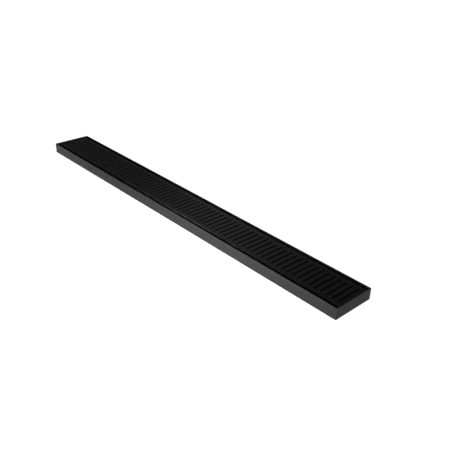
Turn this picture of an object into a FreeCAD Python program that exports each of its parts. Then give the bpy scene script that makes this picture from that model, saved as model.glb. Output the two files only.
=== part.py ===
"""Linear channel drain: an open aluminium tray, two bonded end caps and a lift-out slotted grate.

Frame: X runs along the channel, Y across it, Z up. The origin is the middle of the underside.
All sizes are in millimetres.
"""
import FreeCAD
import Part
import math
import os

Vector = FreeCAD.Vector

# ---- whole drain -------------------------------------------------------------
DRAIN_LENGTH = 1000.0        # over both end caps
DRAIN_WIDTH = 100.0
DRAIN_HEIGHT = 25.0

# ---- channel body: one extruded aluminium tray -------------------------------
WALL = 2.0                   # side walls
FLOOR = 2.0                  # tray floor
RIM_OUTER_RADIUS = 0.4       # rounding of the top of each wall, outside and inside
RIM_INNER_RADIUS = 0.3
BASE_RADIUS = 0.5            # outer edges under the tray
TRAY_FILLET = 2.0            # fillet between floor and wall
RAIL_WIDTH = 1.6             # low rails that keep the grate central
RAIL_HEIGHT = 1.8
RAIL_CLEARANCE = 0.4         # between a rail and the foot pads
RAIL_RADIUS = 0.4
OUTLET_RADIUS = 28.2         # clears a 50 mm waste pipe, 56 mm outside
OUTLET_X = 0.0

# ---- end caps: moulded plates with a plug that enters the tray ---------------
CAP_PLATE = 2.0
CAP_PLUG_DEPTH = 6.0
CAP_PLUG_WALL = 2.4
CAP_PLUG_BAR = 1.8           # height of the plug's bar on the floor
CAP_PLUG_DROP = 4.6          # top of the plug below the top of the cap
CAP_CLEARANCE = 0.2          # glue gap between the plug and the tray

# ---- grate: one extruded section with milled slots ---------------------------
GRATE_SIDE_GAP = 7.2         # water gap between the grate and each wall
GRATE_THICKNESS = 3.0
GRATE_RECESS = 0.8           # top of the grate below the top of the walls
GRATE_END_GAP = 0.5          # play between the grate and each end cap
GRATE_EDGE_RADIUS = 1.2      # long top edges
GRATE_UNDER_RADIUS = 0.4     # long bottom edges
LEG_THICKNESS = 2.2
LEG_INSET = 6.3              # from the long edge of the plate to the middle of the leg
LEG_FILLET = 1.0             # between leg and plate

# ---- slots -------------------------------------------------------------------
SLOT_PITCH = 13.9
SLOT_END_MARGIN = 10.0       # least distance from a slot's centre to the end of the grate
SLOT_LENGTH = 63.6
SLOT_WIDTH = 4.2

# ---- foot pads: short U-section rubber shoes pressed on the legs -------------
PAD_LENGTH = 20.0
PAD_BASE = 3.0               # rubber under the leg
PAD_GRIP = 3.5               # rubber up each side of the leg
PAD_SIDE = 1.5               # thickness of each side
PADS_PER_LEG = 5
PAD_END_MARGIN = 57.5        # from the end of the grate to the centre of the first pad

# ---- sizes that follow -------------------------------------------------------
BODY_LENGTH = DRAIN_LENGTH - 2 * CAP_PLATE
GRATE_LENGTH = BODY_LENGTH - 2 * GRATE_END_GAP
GRATE_WIDTH = DRAIN_WIDTH - 2 * (WALL + GRATE_SIDE_GAP)
GRATE_TOP = DRAIN_HEIGHT - GRATE_RECESS
GRATE_UNDERSIDE = GRATE_TOP - GRATE_THICKNESS
SLOT_COUNT = int((GRATE_LENGTH - 2 * SLOT_END_MARGIN) / SLOT_PITCH) + 1
PAD_PITCH = (GRATE_LENGTH - 2 * PAD_END_MARGIN) / (PADS_PER_LEG - 1)
LEG_Y = GRATE_WIDTH / 2 - LEG_INSET
LEG_BOTTOM = FLOOR + PAD_BASE
PAD_HALF_WIDTH = LEG_THICKNESS / 2 + PAD_SIDE
RAIL_INNER_Y = LEG_Y + PAD_HALF_WIDTH + RAIL_CLEARANCE
RAIL_OUTER_Y = RAIL_INNER_Y + RAIL_WIDTH
HALF_WIDTH = DRAIN_WIDTH / 2
WALL_Y = HALF_WIDTH - WALL

OUT = "parts"


def round_corner(before, corner, after, radius):
    """Start, middle and end of the arc that rounds one corner of an outline."""
    back = (before - corner).normalize()
    ahead = (after - corner).normalize()
    half_angle = back.getAngle(ahead) / 2
    reach = radius / math.tan(half_angle)
    start = corner + back * reach
    end = corner + ahead * reach
    bisector = (back + ahead).normalize()
    middle = corner + bisector * (radius / math.sin(half_angle) - radius)
    return start, middle, end


def section(corners, x):
    """Face across the channel at x, from (y, z, radius) corners in order."""
    points = [Vector(x, y, z) for y, z, _ in corners]
    count = len(points)
    starts, ends, edges = [], [], []
    for i, (_, _, radius) in enumerate(corners):
        if radius:
            start, middle, end = round_corner(points[i - 1], points[i], points[(i + 1) % count], radius)
            edges.append(Part.Arc(start, middle, end).toShape())
        else:
            start = end = points[i]
        starts.append(start)
        ends.append(end)
    for i in range(count):
        following = starts[(i + 1) % count]
        if ends[i].distanceToPoint(following) > 1e-6:
            edges.append(Part.LineSegment(ends[i], following).toShape())
    return Part.Face(Part.Wire(Part.__sortEdges__(edges)))


def extruded(corners, x_start, x_end):
    return section(corners, x_start).extrude(Vector(x_end - x_start, 0, 0))


def both_sides(half):
    """Closed outline from its +Y half, listed outwards from the middle and back."""
    return half + [(-y, z, radius) for y, z, radius in reversed(half)]


def box(x_low, x_high, y_low, y_high, z_low, z_high):
    corner = Vector(x_low, y_low, z_low)
    return Part.makeBox(x_high - x_low, y_high - y_low, z_high - z_low, corner)


def outer_corners():
    """Outer outline of the tray's section, which the end caps share."""
    return [
        (HALF_WIDTH, 0.0, BASE_RADIUS),
        (HALF_WIDTH, DRAIN_HEIGHT, RIM_OUTER_RADIUS),
    ]


def channel_body():
    half = outer_corners() + [
        (WALL_Y, DRAIN_HEIGHT, RIM_INNER_RADIUS),
        (WALL_Y, FLOOR, TRAY_FILLET),
        (RAIL_OUTER_Y, FLOOR, 0.0),
        (RAIL_OUTER_Y, FLOOR + RAIL_HEIGHT, RAIL_RADIUS),
        (RAIL_INNER_Y, FLOOR + RAIL_HEIGHT, RAIL_RADIUS),
        (RAIL_INNER_Y, FLOOR, 0.0),
    ]
    tray = extruded(both_sides(half), -BODY_LENGTH / 2, BODY_LENGTH / 2)
    outlet = Part.makeCylinder(OUTLET_RADIUS, FLOOR, Vector(OUTLET_X, 0, 0))
    return tray.cut(outlet)


def end_cap(side):
    """Cap for the end at side = -1 (left) or +1 (right)."""
    seat = side * BODY_LENGTH / 2
    face = side * DRAIN_LENGTH / 2
    tip = seat - side * CAP_PLUG_DEPTH
    plate = extruded(both_sides(outer_corners()), min(seat, face), max(seat, face))

    arm_outer = WALL_Y - CAP_CLEARANCE
    arm_inner = arm_outer - CAP_PLUG_WALL
    bar_low = FLOOR + CAP_CLEARANCE
    bar_high = bar_low + CAP_PLUG_BAR
    arm_high = DRAIN_HEIGHT - CAP_PLUG_DROP
    half = [
        (arm_outer, bar_low, TRAY_FILLET),
        (arm_outer, arm_high, 0.0),
        (arm_inner, arm_high, 0.0),
        (arm_inner, bar_high, 0.0),
    ]
    plug = extruded(both_sides(half), min(seat, tip), max(seat, tip))
    for y_side in (-1, 1):
        y_edges = sorted((y_side * (RAIL_INNER_Y - CAP_CLEARANCE), y_side * (RAIL_OUTER_Y + CAP_CLEARANCE)))
        notch_top = FLOOR + RAIL_HEIGHT + CAP_CLEARANCE
        notch = box(min(seat, tip), max(seat, tip), *y_edges, FLOOR, notch_top)
        plug = plug.cut(notch)
    return plate.fuse(plug).removeSplitter()


def slot_cutter(x):
    """Obround hole across the grate, centred at x."""
    radius = SLOT_WIDTH / 2
    straight = SLOT_LENGTH / 2 - radius
    low = GRATE_UNDERSIDE
    left, right = x - radius, x + radius
    edges = [
        Part.LineSegment(Vector(left, -straight, low), Vector(left, straight, low)).toShape(),
        Part.Arc(Vector(left, straight, low), Vector(x, straight + radius, low),
                 Vector(right, straight, low)).toShape(),
        Part.LineSegment(Vector(right, straight, low), Vector(right, -straight, low)).toShape(),
        Part.Arc(Vector(right, -straight, low), Vector(x, -straight - radius, low),
                 Vector(left, -straight, low)).toShape(),
    ]
    return Part.Face(Part.Wire(edges)).extrude(Vector(0, 0, GRATE_THICKNESS))


def grate():
    half_width = GRATE_WIDTH / 2
    leg_outer = LEG_Y + LEG_THICKNESS / 2
    leg_inner = LEG_Y - LEG_THICKNESS / 2
    half = [
        (leg_inner, GRATE_UNDERSIDE, LEG_FILLET),
        (leg_inner, LEG_BOTTOM, 0.0),
        (leg_outer, LEG_BOTTOM, 0.0),
        (leg_outer, GRATE_UNDERSIDE, LEG_FILLET),
        (half_width, GRATE_UNDERSIDE, GRATE_UNDER_RADIUS),
        (half_width, GRATE_TOP, GRATE_EDGE_RADIUS),
    ]
    plate = extruded(both_sides(half), -GRATE_LENGTH / 2, GRATE_LENGTH / 2)
    first = -SLOT_PITCH * (SLOT_COUNT - 1) / 2
    slots = [slot_cutter(first + i * SLOT_PITCH) for i in range(SLOT_COUNT)]
    return plate.cut(Part.makeCompound(slots))


def foot_pad(x, y):
    """U-section rubber shoe under the leg at y, centred at x."""
    inner = LEG_THICKNESS / 2
    top = LEG_BOTTOM + PAD_GRIP
    half = [
        (PAD_HALF_WIDTH, FLOOR, 0.0),
        (PAD_HALF_WIDTH, top, 0.0),
        (inner, top, 0.0),
        (inner, LEG_BOTTOM, 0.0),
    ]
    shoe = [(y + across, z, radius) for across, z, radius in both_sides(half)]
    return extruded(shoe, x - PAD_LENGTH / 2, x + PAD_LENGTH / 2)


def all_parts():
    parts = {
        "channel_body": channel_body(),
        "end_cap_left": end_cap(-1),
        "end_cap_right": end_cap(1),
        "grate": grate(),
    }
    for row, y in (("front", -LEG_Y), ("back", LEG_Y)):
        for i in range(PADS_PER_LEG):
            x = (i - (PADS_PER_LEG - 1) / 2) * PAD_PITCH
            parts[f"foot_pad_{row}_{i + 1}"] = foot_pad(x, y)
    return parts


os.makedirs(OUT, exist_ok=True)
for name, shape in all_parts().items():
    solid = shape.Solids[0]
    if len(shape.Solids) != 1 or not solid.isValid():
        raise ValueError(f"{name} is not one valid solid")
    solid.exportStep(os.path.join(OUT, name + ".step"))
    print(f"{name}: {solid.Volume / 1000:.1f} cm3")
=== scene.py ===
"""A one metre black channel drain: powder-coated tray, end caps, slotted grate and rubber feet."""
import math

import bmesh
import bpy
from mathutils import Matrix, Vector


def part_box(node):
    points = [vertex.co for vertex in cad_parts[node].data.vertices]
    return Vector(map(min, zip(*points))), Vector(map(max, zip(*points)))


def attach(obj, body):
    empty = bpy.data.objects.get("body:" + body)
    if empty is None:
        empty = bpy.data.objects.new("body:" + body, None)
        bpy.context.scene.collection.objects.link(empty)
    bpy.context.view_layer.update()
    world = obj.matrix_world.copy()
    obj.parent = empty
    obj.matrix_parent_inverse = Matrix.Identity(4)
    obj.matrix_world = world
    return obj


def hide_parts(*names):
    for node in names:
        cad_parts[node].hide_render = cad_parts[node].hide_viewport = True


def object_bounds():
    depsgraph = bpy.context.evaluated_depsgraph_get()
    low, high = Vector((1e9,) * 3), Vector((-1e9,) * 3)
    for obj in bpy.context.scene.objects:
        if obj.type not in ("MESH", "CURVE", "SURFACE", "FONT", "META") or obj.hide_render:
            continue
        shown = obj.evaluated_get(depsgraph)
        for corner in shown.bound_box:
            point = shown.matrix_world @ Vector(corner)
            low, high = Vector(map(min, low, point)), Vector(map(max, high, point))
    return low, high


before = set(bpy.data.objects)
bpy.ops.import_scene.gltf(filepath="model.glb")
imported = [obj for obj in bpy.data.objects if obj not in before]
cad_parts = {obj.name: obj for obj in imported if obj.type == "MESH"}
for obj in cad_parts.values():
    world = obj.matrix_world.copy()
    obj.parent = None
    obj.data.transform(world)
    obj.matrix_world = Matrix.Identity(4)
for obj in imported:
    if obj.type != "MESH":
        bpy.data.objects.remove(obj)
cad_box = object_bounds()
MM = 0.001


# ---- camera ------------------------------------------------------------------
# A view through a normal lens from in front of the right-hand end, held with a slight roll.
# It looks along the drain and down on the grate.
VIEW_OFFSET = Vector((1.00106, -0.78949, 0.65113))      # from the middle of the drain, in metres
VIEW_FORWARD = Vector((-0.63393, 0.59978, -0.48826))
VIEW_ROLL = math.radians(2.08)
FOCAL_LENGTH = 47.92            # the lens and its sensor are in millimetres
SENSOR_WIDTH = 36.0


def show(item):
    """Puts an object in the scene."""
    bpy.context.scene.collection.objects.link(item)
    return item


low, high = (Vector(corner) for corner in cad_box)
camera_data = bpy.data.cameras.new("camera")
camera_data.lens = FOCAL_LENGTH
camera_data.sensor_width = SENSOR_WIDTH
camera = show(bpy.data.objects.new("camera", camera_data))
camera.location = (low + high) / 2 + VIEW_OFFSET
camera.rotation_mode = "QUATERNION"
roll = Matrix.Rotation(VIEW_ROLL, 4, "Z").to_quaternion()
camera.rotation_quaternion = VIEW_FORWARD.to_track_quat("-Z", "Y") @ roll
bpy.context.scene.camera = camera
bpy.context.scene.view_settings.view_transform = "Standard"


# ---- channel body ------------------------------------------------------------
# The tray is one aluminium extrusion with two plain walls, sawn to length and drilled for its outlet.
# It is powder coated in a black fine texture, which rounds every sawn edge by its own thickness.
COAT_EDGE = 0.25 * MM
EDGE_STEPS = 3                  # faces across a rounded edge
SHARP = math.radians(40)        # an edge that turns by more than this is rounded
FLAT = math.radians(0.5)        # triangles that turn by less than this are one face
SAME_POINT = 0.001 * MM
COAT_BLACK = "#09090a"
COAT_BLACK_DEEP = "#050506"
COAT_IOR = 1.33                 # plain polyester has 1.5: the matting agent scatters its sheen
COAT_ROUGHNESS = (0.36, 0.50)
COAT_PEEL = 6.0 * MM            # the real peel is 2 to 4 mm across: drawn coarser so that it shows
COAT_PEEL_DEPTH = 0.04 * MM
COAT_PEEL_RUN = 0.3             # its width over its length along the extrusion
COAT_GRIT = 0.9 * MM            # the real grit is near 0.3 mm: drawn coarser so that it shows
COAT_GRIT_DEPTH = 0.05 * MM
COAT_GRIT_STRENGTH = 0.6
NOISE_SPAN = (0.3, 0.7)         # the values that a noise pattern mostly stays between


def hex_colour(code):
    """Linear RGBA from an sRGB hex code."""
    channels = [int(code[i:i + 2], 16) / 255 for i in (1, 3, 5)]
    linear = [c / 12.92 if c <= 0.04045 else ((c + 0.055) / 1.055) ** 2.4 for c in channels]
    return (*linear, 1.0)


def add_node(tree, kind, inputs=None, **settings):
    """New node with its settings, and its inputs given as values or as the sockets they come from."""
    node = tree.nodes.new(kind)
    for name, value in settings.items():
        setattr(node, name, value)
    for name, value in (inputs or {}).items():
        if isinstance(value, bpy.types.NodeSocket):
            tree.links.new(value, node.inputs[name])
        else:
            node.inputs[name].default_value = value
    return node


def new_material(name, ior):
    """Plain material, its node tree and its shader."""
    material = bpy.data.materials.new(name)
    material.use_nodes = True
    shader = material.node_tree.nodes["Principled BSDF"]
    shader.inputs["IOR"].default_value = ior
    return material, material.node_tree, shader


def mottle(tree, shader, pattern, darker, lighter, roughness=None):
    """Lets a pattern run the colour between two blacks, and the roughness between two values."""
    colour = add_node(tree, "ShaderNodeMix", {
        "Factor": pattern, "A": hex_colour(darker), "B": hex_colour(lighter)}, data_type="RGBA")
    tree.links.new(colour.outputs["Result"], shader.inputs["Base Color"])
    if roughness:
        gloss = add_node(tree, "ShaderNodeMapRange", {
            "Value": pattern, "From Min": NOISE_SPAN[0], "From Max": NOISE_SPAN[1],
            "To Min": roughness[0], "To Max": roughness[1]})
        tree.links.new(gloss.outputs["Result"], shader.inputs["Roughness"])


def powder_coat(name):
    """Baked polyester powder: deep black, satin, with a slight orange peel and a fine grit in it.

    The peel gives the sides their faint streaks, drawn out along the metal's own rolling lines.
    """
    material, tree, shader = new_material(name, COAT_IOR)
    place = add_node(tree, "ShaderNodeTexCoord").outputs["Object"]
    drawn = add_node(tree, "ShaderNodeMapping", {"Vector": place, "Scale": (COAT_PEEL_RUN, 1.0, 1.0)})
    peel = add_node(tree, "ShaderNodeTexNoise", {
        "Vector": drawn.outputs["Vector"], "Scale": 1 / COAT_PEEL, "Detail": 3.0, "Roughness": 0.55})
    grit = add_node(tree, "ShaderNodeTexNoise", {
        "Vector": place, "Scale": 1 / COAT_GRIT, "Detail": 2.0})
    mottle(tree, shader, peel.outputs["Fac"], COAT_BLACK_DEEP, COAT_BLACK, COAT_ROUGHNESS)
    waves = add_node(tree, "ShaderNodeBump", {
        "Height": peel.outputs["Fac"], "Strength": 1.0, "Distance": COAT_PEEL_DEPTH})
    specks = add_node(tree, "ShaderNodeBump", {
        "Height": grit.outputs["Fac"], "Strength": COAT_GRIT_STRENGTH, "Distance": COAT_GRIT_DEPTH,
        "Normal": waves.outputs["Normal"]})
    tree.links.new(specks.outputs["Normal"], shader.inputs["Normal"])
    return material


def bake_modifiers(piece):
    """Turns the piece's modifiers into plain mesh."""
    bpy.context.view_layer.update()
    evaluated = piece.evaluated_get(bpy.context.evaluated_depsgraph_get())
    mesh = bpy.data.meshes.new_from_object(evaluated)
    piece.modifiers.clear()
    piece.data = mesh


def settle_normals(piece):
    """Flat faces stay flat beside their rounded edges."""
    piece.data.shade_smooth()
    piece.data.set_sharp_from_angle(angle=SHARP)
    weighted = piece.modifiers.new("weighted", "WEIGHTED_NORMAL")
    weighted.keep_sharp = True
    weighted.weight = 100       # the largest faces decide
    bake_modifiers(piece)


def softened(node, width, crowded=False):
    """Copy of a CAD node with its triangles joined to faces and its sharp edges rounded.

    A crowded piece has edges too close together for the width, and its closest ones then set it.
    """
    shape = bmesh.new()
    shape.from_mesh(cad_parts[node].data)
    bmesh.ops.remove_doubles(shape, verts=shape.verts, dist=SAME_POINT)
    bmesh.ops.dissolve_limit(shape, angle_limit=FLAT, verts=shape.verts, edges=shape.edges)
    mesh = bpy.data.meshes.new(node)
    shape.to_mesh(mesh)
    shape.free()
    piece = show(bpy.data.objects.new(node + "_finish", mesh))
    bevel = piece.modifiers.new("coat", "BEVEL")
    bevel.width = width
    bevel.segments = EDGE_STEPS
    bevel.use_clamp_overlap = crowded
    bevel.limit_method = "ANGLE"
    bevel.angle_limit = SHARP
    bake_modifiers(piece)
    settle_normals(piece)
    return piece


def finish(piece, material, slot, *nodes):
    """Gives the piece its one material and its place in the frame."""
    piece.data.materials.clear()
    piece.data.materials.append(material)
    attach(piece, "root")
    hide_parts(*nodes)


body_coat = powder_coat("black powder coat on the tray")
finish(softened("channel_body", COAT_EDGE), body_coat, "body_coating", "channel_body")


# ---- end caps ----------------------------------------------------------------
# A flat moulded plate closes each end, glued in place by a plug behind it.
# Its rounded edges leave a hairline joint against the tray.
CAP_EDGE = 0.35 * MM            # the short edges of the plug hold it to about 0.2 mm
CAP_BLACK = "#0d0d0e"
CAP_BLACK_WORN = "#131314"
CAP_IOR = 1.33                  # plain ABS has 1.53: the spark texture takes most of its sheen
CAP_ROUGHNESS = (0.60, 0.68)
CAP_CLOUDS = 18.0 * MM
CAP_SPARK = 1.4 * MM            # the real spark texture is near 0.5 mm: drawn coarser so that it shows
CAP_SPARK_DEPTH = 0.06 * MM
CAP_SPARK_STRENGTH = 0.5


def moulded_plastic(name):
    """ABS moulded in a spark-eroded mould: even and dull, with soft clouds where it cooled."""
    material, tree, shader = new_material(name, CAP_IOR)
    place = add_node(tree, "ShaderNodeTexCoord").outputs["Object"]
    flow = add_node(tree, "ShaderNodeTexNoise", {
        "Vector": place, "Scale": 1 / CAP_CLOUDS, "Detail": 2.0})
    spark = add_node(tree, "ShaderNodeTexVoronoi", {"Vector": place, "Scale": 1 / CAP_SPARK})
    mottle(tree, shader, flow.outputs["Fac"], CAP_BLACK, CAP_BLACK_WORN, CAP_ROUGHNESS)
    pits = add_node(tree, "ShaderNodeBump", {
        "Height": spark.outputs["Distance"], "Strength": CAP_SPARK_STRENGTH,
        "Distance": CAP_SPARK_DEPTH})
    tree.links.new(pits.outputs["Normal"], shader.inputs["Normal"])
    return material


cap_plastic = moulded_plastic("black moulded ABS")
for cap in ("end_cap_left", "end_cap_right"):
    finish(softened(cap, CAP_EDGE, crowded=True), cap_plastic, "cap_plastic", cap)


# ---- grate -------------------------------------------------------------------
# One extruded plate on two legs, with a row of obround slots milled across it and lifted out by hand.
# The slot is made once, with the edge that the coat leaves, and repeated along the plate.
SLOT_PITCH = 13.9 * MM
SLOT_LENGTH = 63.6 * MM
SLOT_WIDTH = 4.2 * MM
SLOT_COUNT = 71
PLATE = 3.0 * MM
LONG_EDGE = 1.2 * MM            # rounding along the plate's top edges
UNDER_EDGE = 0.4 * MM
LEG_INSET = 6.3 * MM
LEG = 2.2 * MM
LEG_FILLET = 1.0 * MM
SLOT_EDGE = 0.25 * MM           # rounding of the slot's rim, above
SLOT_UNDER_EDGE = 0.2 * MM
LONG_EDGE_STEPS = 6             # faces round each of these
UNDER_EDGE_STEPS = 2
LEG_FILLET_STEPS = 3
SLOT_EDGE_STEPS = 3
END_STEPS = 8                   # faces round each end of a slot
CELL_SEAM = 0.002 * MM          # two cells this close are one plate

grate_low, grate_high = (Vector(corner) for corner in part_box("grate"))
top, underside = grate_high.z, grate_high.z - PLATE
leg_y = grate_high.y - LEG_INSET
flat_y = grate_high.y - LONG_EDGE
under_y = leg_y - LEG / 2 - LEG_FILLET


def arc(centre_y, centre_z, radius, start, stop, steps):
    """Points round an arc, angles in degrees from +Y towards +Z."""
    turns = [math.radians(start + (stop - start) * i / steps) for i in range(steps + 1)]
    return [(centre_y + radius * math.cos(t), centre_z + radius * math.sin(t)) for t in turns]


def flank():
    """Half of the grate's section, from the top over the long edge and the leg to the underside."""
    outer, inner = leg_y + LEG / 2, leg_y - LEG / 2
    fillet_z = underside - LEG_FILLET
    points = arc(flat_y, top - LONG_EDGE, LONG_EDGE, 90, 0, LONG_EDGE_STEPS)
    points += arc(grate_high.y - UNDER_EDGE, underside + UNDER_EDGE, UNDER_EDGE,
                  0, -90, UNDER_EDGE_STEPS)
    points += arc(outer + LEG_FILLET, fillet_z, LEG_FILLET, 90, 180, LEG_FILLET_STEPS)
    points += [(outer, grate_low.z), (inner, grate_low.z)]
    points += arc(inner - LEG_FILLET, fillet_z, LEG_FILLET, 0, 90, LEG_FILLET_STEPS)
    return points


def mirrored(points):
    """The same section points on the other side of the drain's middle."""
    return [(-y, z) for y, z in points]


def strip(shape, points, x_from, x_to):
    """Faces between two copies of an open line of section points."""
    rows = [[shape.verts.new((x, y, z)) for y, z in points] for x in (x_from, x_to)]
    for i in range(len(points) - 1):
        shape.faces.new((rows[0][i], rows[1][i], rows[1][i + 1], rows[0][i + 1]))


def slot_ring(shape, offset, z):
    """Vertices round the slot, grown by offset; index 0 is its +X side where the +Y end begins."""
    radius = SLOT_WIDTH / 2 + offset
    straight = (SLOT_LENGTH - SLOT_WIDTH) / 2
    ring = []
    for end_y, half_turn in ((straight, 0), (-straight, math.pi)):
        for i in range(END_STEPS + 1):
            turn = half_turn + math.pi * i / END_STEPS
            x, y = radius * math.cos(turn), end_y + radius * math.sin(turn)
            ring.append(shape.verts.new((x, y, z)))
    return ring


def holed_face(shape, ring, half_x, half_y, z):
    """Flat face round a slot, in four pieces that meet on lines from its corners."""
    corners = [shape.verts.new((x, y, z)) for x, y in (
        (half_x, half_y), (-half_x, half_y), (-half_x, -half_y), (half_x, -half_y))]
    quarter = END_STEPS // 4
    count = len(ring)
    cuts = [quarter, END_STEPS - quarter, END_STEPS + 1 + quarter, 2 * END_STEPS + 1 - quarter]
    for i in range(4):
        first, last = cuts[i], cuts[(i + 1) % 4]
        span = (last - first) % count
        inner = [ring[(first + k) % count] for k in range(span + 1)]
        shape.faces.new([corners[(i + 1) % 4], corners[i]] + inner)


def build_cell(shape):
    """One pitch of the grate, with its slot in the middle."""
    half = SLOT_PITCH / 2
    strip(shape, flank(), -half, half)
    strip(shape, mirrored(flank()), -half, half)
    turns = [math.pi / 2 * i / SLOT_EDGE_STEPS for i in range(SLOT_EDGE_STEPS + 1)]
    levels = [(SLOT_EDGE * (1 - math.sin(t)), top - SLOT_EDGE * (1 - math.cos(t))) for t in turns]
    levels += [(0, underside + SLOT_UNDER_EDGE), (SLOT_UNDER_EDGE, underside)]
    rings = [slot_ring(shape, offset, z) for offset, z in levels]
    for upper, lower in zip(rings, rings[1:]):
        for i in range(len(upper)):
            k = (i + 1) % len(upper)
            shape.faces.new((upper[i], upper[k], lower[k], lower[i]))
    holed_face(shape, rings[0], half, flat_y, top)
    holed_face(shape, rings[-1], half, under_y, underside)


def build_ends(shape):
    """The plain lengths past the first and last slot, closed by the sawn ends."""
    run = SLOT_COUNT * SLOT_PITCH / 2
    around = flank() + list(reversed(mirrored(flank())))
    for x_end, x_cell in ((grate_low.x, -run), (grate_high.x, run)):
        strip(shape, around + around[:1], x_end, x_cell)
        shape.faces.new([shape.verts.new((x_end, y, z)) for y, z in around])


def built(name, build):
    """Object made by a build function, with its doubles merged and its faces outwards."""
    shape = bmesh.new()
    build(shape)
    bmesh.ops.remove_doubles(shape, verts=shape.verts, dist=SAME_POINT)
    bmesh.ops.recalc_face_normals(shape, faces=shape.faces)
    mesh = bpy.data.meshes.new(name)
    shape.to_mesh(mesh)
    shape.free()
    return bpy.data.objects.new(name, mesh)


def new_row(name, inputs):
    """Node tree with its named inputs, the values they start from, and the inputs' own sockets."""
    tree = bpy.data.node_groups.new(name, "GeometryNodeTree")
    tree.interface.new_socket("Geometry", in_out="OUTPUT", socket_type="NodeSocketGeometry")
    values = {}
    for label, (kind, value) in inputs.items():
        item = tree.interface.new_socket(label, in_out="INPUT", socket_type="NodeSocket" + kind)
        values[item.identifier] = value
    return tree, values, add_node(tree, "NodeGroupInput").outputs


def row_of_cells(cell, ends, material):
    """Node tree: the cell repeated along X, joined to the end lengths."""
    tree, values, given = new_row("slotted row", {
        "Cell": ("Object", cell), "Ends": ("Object", ends), "Count": ("Int", SLOT_COUNT),
        "Pitch": ("Float", SLOT_PITCH), "Material": ("Material", material)})
    cell_info = add_node(tree, "GeometryNodeObjectInfo", {"Object": given["Cell"]})
    ends_info = add_node(tree, "GeometryNodeObjectInfo", {"Object": given["Ends"]})
    gaps = add_node(tree, "ShaderNodeMath", {0: given["Count"], 1: 1.0}, operation="SUBTRACT")
    reach = add_node(tree, "ShaderNodeMath", {
        0: gaps.outputs[0], 1: given["Pitch"]}, operation="MULTIPLY")
    first = add_node(tree, "ShaderNodeMath", {0: reach.outputs[0], 1: -0.5}, operation="MULTIPLY")
    start = add_node(tree, "ShaderNodeCombineXYZ", {"X": first.outputs[0]})
    step = add_node(tree, "ShaderNodeCombineXYZ", {"X": given["Pitch"]})
    line = add_node(tree, "GeometryNodeMeshLine", {
        "Count": given["Count"], "Start Location": start.outputs[0], "Offset": step.outputs[0]})
    cells = add_node(tree, "GeometryNodeInstanceOnPoints", {
        "Points": line.outputs["Mesh"], "Instance": cell_info.outputs["Geometry"]})
    join = add_node(tree, "GeometryNodeJoinGeometry")
    tree.links.new(cells.outputs["Instances"], join.inputs[0])
    tree.links.new(ends_info.outputs["Geometry"], join.inputs[0])
    real = add_node(tree, "GeometryNodeRealizeInstances", {"Geometry": join.outputs[0]})
    merged = add_node(tree, "GeometryNodeMergeByDistance", {
        "Geometry": real.outputs[0], "Distance": CELL_SEAM})
    coated = add_node(tree, "GeometryNodeSetMaterial", {
        "Geometry": merged.outputs[0], "Material": given["Material"]})
    add_node(tree, "NodeGroupOutput", {"Geometry": coated.outputs[0]})
    return tree, values


def grown(name, tree, values):
    """Piece whose mesh a node tree makes from the values. The shapes it repeats are cleared away."""
    piece = show(bpy.data.objects.new(name, bpy.data.meshes.new(name)))
    modifier = piece.modifiers.new("nodes", "NODES")
    modifier.node_group = tree
    for identifier, value in values.items():
        modifier[identifier] = value
    bake_modifiers(piece)
    for value in values.values():
        if isinstance(value, bpy.types.Object):
            bpy.data.objects.remove(value)
    settle_normals(piece)
    return piece


grate_coat = powder_coat("black powder coat on the grate")
cell = built("slot_cell", build_cell)
ends = built("grate_ends", build_ends)
grate = grown("grate_finish", *row_of_cells(cell, ends, grate_coat))
finish(grate, grate_coat, "grate_coating", "grate")


# ---- foot pads ---------------------------------------------------------------
# Short shoes of black EPDM pressed on the legs. They keep the grate from rattling and let water pass.
# They are cut with a knife from one extruded U-section with grip grooves, so all of them are alike.
PAD_BASE = 3.0 * MM             # rubber under the leg
PAD_SIDE = 1.5 * MM
PAD_BASE_EDGE = 0.5 * MM        # rounding of the section, below
PAD_LIP_EDGE = 0.6 * MM         # and at its two lips
PAD_CUT_EDGE = 0.1 * MM         # what a knife leaves on the cut ends
PAD_BASE_STEPS = 3              # faces round each of these
PAD_LIP_STEPS = 4
PAD_CUT_STEPS = 2
GROOVE_DEPTH = 0.3 * MM
GROOVE_WIDTH = 0.7 * MM
GROOVE_FLOOR = GROOVE_WIDTH / 3
GROOVE_HEIGHTS = (1.7 * MM, 3.1 * MM, 4.5 * MM)         # above the tray's floor
RUBBER_BLACK = "#151515"
RUBBER_BLOOM = "#262626"        # pale bloom of the talc it is dusted with
RUBBER_IOR = 1.5
RUBBER_ROUGHNESS = 0.82
BLOOM_PATCHES = 4.0 * MM
BLOOM_SPAN = (0.45, 0.75)       # noise under the first is bare rubber, over the second full bloom
DIE_LINES = 0.6 * MM
DIE_LINES_DEPTH = 0.05 * MM
DIE_LINES_STRENGTH = 0.5
DIE_LINES_RUN = 0.05            # their width over their length along the shoe

pads = sorted(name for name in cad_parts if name.startswith("foot_pad_"))
pad_boxes = [[Vector(corner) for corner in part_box(pad)] for pad in pads]
pad_low, pad_high = pad_boxes[-1]
pad_length = pad_high.x - pad_low.x
pad_centres = sorted((lowest.x + highest.x) / 2 for lowest, highest in pad_boxes)
pads_per_leg = len(pads) // 2


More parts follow.
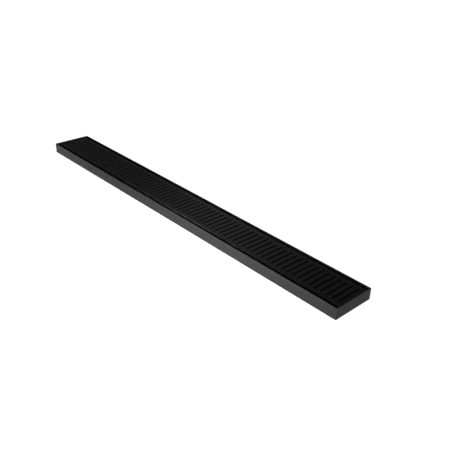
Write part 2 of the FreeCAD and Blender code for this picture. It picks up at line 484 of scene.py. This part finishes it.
def build_shoe(shape):
    """One shoe, centred on X and Y, at its own height."""
    half_leg = LEG / 2
    side_y = half_leg + PAD_SIDE
    base, lip = pad_low.z, pad_high.z
    outline = [(0.0, base)]
    outline += arc(side_y - PAD_BASE_EDGE, base + PAD_BASE_EDGE, PAD_BASE_EDGE, -90, 0, PAD_BASE_STEPS)
    for groove in GROOVE_HEIGHTS:
        z = base + groove
        deep_y = side_y - GROOVE_DEPTH
        outline += [(side_y, z - GROOVE_WIDTH / 2), (deep_y, z - GROOVE_FLOOR / 2),
                    (deep_y, z + GROOVE_FLOOR / 2), (side_y, z + GROOVE_WIDTH / 2)]
    outline += arc(side_y - PAD_LIP_EDGE, lip - PAD_LIP_EDGE, PAD_LIP_EDGE, 0, 90, PAD_LIP_STEPS)
    outline += [(half_leg, lip), (half_leg, base + PAD_BASE), (0.0, base + PAD_BASE)]
    outline += reversed(mirrored(outline[1:-1]))
    strip(shape, outline + outline[:1], -pad_length / 2, pad_length / 2)
    for x in (-pad_length / 2, pad_length / 2):
        shape.faces.new([shape.verts.new((x, y, z)) for y, z in outline])
    bmesh.ops.remove_doubles(shape, verts=shape.verts, dist=SAME_POINT)
    cut_edges = [edge for edge in shape.edges
                 if abs(edge.verts[0].co.x - edge.verts[1].co.x) < SAME_POINT]
    bmesh.ops.bevel(shape, geom=cut_edges, offset=PAD_CUT_EDGE, segments=PAD_CUT_STEPS,
                    affect="EDGES", profile=0.5)


def rows_of_shoes(shoe, material):
    """Node tree: the shoe repeated along the front leg and the back leg."""
    tree, values, given = new_row("shoes on the legs", {
        "Shoe": ("Object", shoe), "Count": ("Int", pads_per_leg),
        "Run": ("Float", pad_centres[-1] - pad_centres[0]),
        "Leg spacing": ("Float", 2 * leg_y), "Material": ("Material", material)})
    shoe_info = add_node(tree, "GeometryNodeObjectInfo", {"Object": given["Shoe"]})
    places = add_node(tree, "GeometryNodeMeshGrid", {
        "Size X": given["Run"], "Size Y": given["Leg spacing"],
        "Vertices X": given["Count"], "Vertices Y": 2})
    shoes = add_node(tree, "GeometryNodeInstanceOnPoints", {
        "Points": places.outputs["Mesh"], "Instance": shoe_info.outputs["Geometry"]})
    real = add_node(tree, "GeometryNodeRealizeInstances", {"Geometry": shoes.outputs["Instances"]})
    dressed = add_node(tree, "GeometryNodeSetMaterial", {
        "Geometry": real.outputs[0], "Material": given["Material"]})
    add_node(tree, "NodeGroupOutput", {"Geometry": dressed.outputs[0]})
    return tree, values


def epdm(name):
    """Extruded EPDM: flat black, greyed in patches by its bloom, with fine die lines along it."""
    material, tree, shader = new_material(name, RUBBER_IOR)
    shader.inputs["Roughness"].default_value = RUBBER_ROUGHNESS
    place = add_node(tree, "ShaderNodeTexCoord").outputs["Object"]
    bloom = add_node(tree, "ShaderNodeTexNoise", {
        "Vector": place, "Scale": 1 / BLOOM_PATCHES, "Detail": 4.0})
    patches = add_node(tree, "ShaderNodeMapRange", {
        "Value": bloom.outputs["Fac"], "From Min": BLOOM_SPAN[0], "From Max": BLOOM_SPAN[1]})
    mottle(tree, shader, patches.outputs["Result"], RUBBER_BLACK, RUBBER_BLOOM)
    drawn = add_node(tree, "ShaderNodeMapping", {"Vector": place, "Scale": (DIE_LINES_RUN, 1.0, 1.0)})
    lines = add_node(tree, "ShaderNodeTexNoise", {
        "Vector": drawn.outputs["Vector"], "Scale": 1 / DIE_LINES, "Detail": 1.0})
    ridges = add_node(tree, "ShaderNodeBump", {
        "Height": lines.outputs["Fac"], "Strength": DIE_LINES_STRENGTH, "Distance": DIE_LINES_DEPTH})
    tree.links.new(ridges.outputs["Normal"], shader.inputs["Normal"])
    return material


rubber = epdm("black EPDM rubber")
shoe = built("shoe", build_shoe)
shoes = grown("foot_pads_finish", *rows_of_shoes(shoe, rubber))
finish(shoes, rubber, "pad_rubber", *pads)


# ---- floor and light ---------------------------------------------------------
# A white table runs out to a white sweep in a dim studio, lit from the front by a broad soft source.
# Three lamps give the coat its sheen, the front its even grey and the grate's near edge its glint.
TABLE_HALF = 20.0               # half its side, in metres
TABLE_DROP = 0.1 * MM           # keeps it clear of the tray's underside
TABLE_WHITE = "#cfcfcf"
TABLE_ROUGHNESS = 0.9
TABLE_GLOW = 0.6                # white of its own, as a lit table has; none of it under the tray
SWEEP_FADE = (0.04, 0.22)       # height of a direction where the sweep begins to fade, and has gone
STUDIO_DIM = 0.03
SOFT_BOX = Vector((0.55, -0.50, 0.67)).normalized()
SOFT_BOX_FADE = (0.45, 0.85)    # cosine of the angle to its middle at its dark and its bright edge
SOFT_BOX_STRENGTH = 1.75
WHITE = (1.0, 1.0, 1.0, 1.0)


def lit_table(name):
    """White table top that takes shadows, and shows its own white to the camera and in reflections."""
    material = bpy.data.materials.new(name)
    material.use_nodes = True
    tree = material.node_tree
    shader = tree.nodes["Principled BSDF"]
    shader.inputs["Base Color"].default_value = hex_colour(TABLE_WHITE)
    shader.inputs["Roughness"].default_value = TABLE_ROUGHNESS
    shader.inputs["Specular IOR Level"].default_value = 0.0
    shader.inputs["Emission Color"].default_value = WHITE
    rays = add_node(tree, "ShaderNodeLightPath").outputs
    shown = add_node(tree, "ShaderNodeMath", {
        0: rays["Is Camera Ray"], 1: rays["Is Glossy Ray"]}, operation="MAXIMUM")
    shown = add_node(tree, "ShaderNodeMath", {
        0: shown.outputs[0], 1: rays["Is Transmission Ray"]}, operation="MAXIMUM")
    place = add_node(tree, "ShaderNodeTexCoord").outputs["Object"]
    spot = add_node(tree, "ShaderNodeSeparateXYZ", {0: place}).outputs
    off_x = add_node(tree, "ShaderNodeMath", {0: spot["X"]}, operation="ABSOLUTE")
    off_y = add_node(tree, "ShaderNodeMath", {0: spot["Y"]}, operation="ABSOLUTE")
    past_x = add_node(tree, "ShaderNodeMath", {
        0: off_x.outputs[0], 1: high.x}, operation="GREATER_THAN")
    past_y = add_node(tree, "ShaderNodeMath", {
        0: off_y.outputs[0], 1: high.y}, operation="GREATER_THAN")
    outside = add_node(tree, "ShaderNodeMath", {
        0: past_x.outputs[0], 1: past_y.outputs[0]}, operation="MAXIMUM")
    glow = add_node(tree, "ShaderNodeMath", {
        0: shown.outputs[0], 1: outside.outputs[0]}, operation="MULTIPLY")
    glow = add_node(tree, "ShaderNodeMath", {0: glow.outputs[0], 1: TABLE_GLOW}, operation="MULTIPLY")
    tree.links.new(glow.outputs[0], shader.inputs["Emission Strength"])
    return material


corners = [(x * TABLE_HALF, y * TABLE_HALF, low.z - TABLE_DROP)
           for x, y in ((-1, -1), (1, -1), (1, 1), (-1, 1))]
floor_mesh = bpy.data.meshes.new("floor")
floor_mesh.from_pydata(corners, [], [(0, 1, 2, 3)])
floor_mesh.materials.append(lit_table("white table"))
floor = show(bpy.data.objects.new("floor", floor_mesh))

world = bpy.data.worlds.new("studio")
world.use_nodes = True
bpy.context.scene.world = world
sky = world.node_tree
direction = add_node(sky, "ShaderNodeTexCoord").outputs["Generated"]
height = add_node(sky, "ShaderNodeSeparateXYZ", {0: direction}).outputs["Z"]
sweep = add_node(sky, "ShaderNodeMapRange", {
    "Value": height, "From Min": SWEEP_FADE[0], "From Max": SWEEP_FADE[1],
    "To Min": 1.0, "To Max": STUDIO_DIM}, interpolation_type="SMOOTHSTEP")
toward = add_node(sky, "ShaderNodeVectorMath", {0: direction, 1: SOFT_BOX}, operation="DOT_PRODUCT")
soft_box = add_node(sky, "ShaderNodeMapRange", {
    "Value": toward.outputs["Value"], "From Min": SOFT_BOX_FADE[0], "From Max": SOFT_BOX_FADE[1],
    "To Min": 0.0, "To Max": SOFT_BOX_STRENGTH}, interpolation_type="SMOOTHSTEP")
total = add_node(sky, "ShaderNodeMath", {
    0: sweep.outputs["Result"], 1: soft_box.outputs["Result"]}, operation="ADD")
background = sky.nodes["Background"].inputs
sky.links.new(total.outputs[0], background["Strength"])
background["Color"].default_value = WHITE


def lamp(name, place, target, width, depth, radiance, spread=180):
    """Soft rectangular lamp that faces its target; radiance is what a mirror would show, 1 being white.

    A spread under 180 degrees is a lamp behind a honeycomb, which narrows its beam and so makes it
    stronger.
    """
    data = bpy.data.lights.new(name, "AREA")
    data.shape = "RECTANGLE"
    data.size = width
    data.size_y = depth
    data.energy = radiance * math.pi * width * depth
    data.spread = math.radians(spread)
    item = show(bpy.data.objects.new(name, data))
    item.location = place
    item.rotation_mode = "QUATERNION"
    item.rotation_quaternion = (Vector(target) - Vector(place)).to_track_quat("-Z", "Y")


lamp("sheen lamp", place=(-0.78, 0.84, 0.80), target=(0.12, 0, 0.02),
     width=0.4, depth=0.4, radiance=0.8)
lamp("low front lamp", place=(0.2, -0.46, 0.045), target=(0.35, 0, 0.01),
     width=0.4, depth=0.07, radiance=65.0)
lamp("edge lamp", place=(-0.42, -0.41, 0.33), target=(0.12, -0.04, 0.024),
     width=0.25, depth=0.15, radiance=2.2, spread=34)
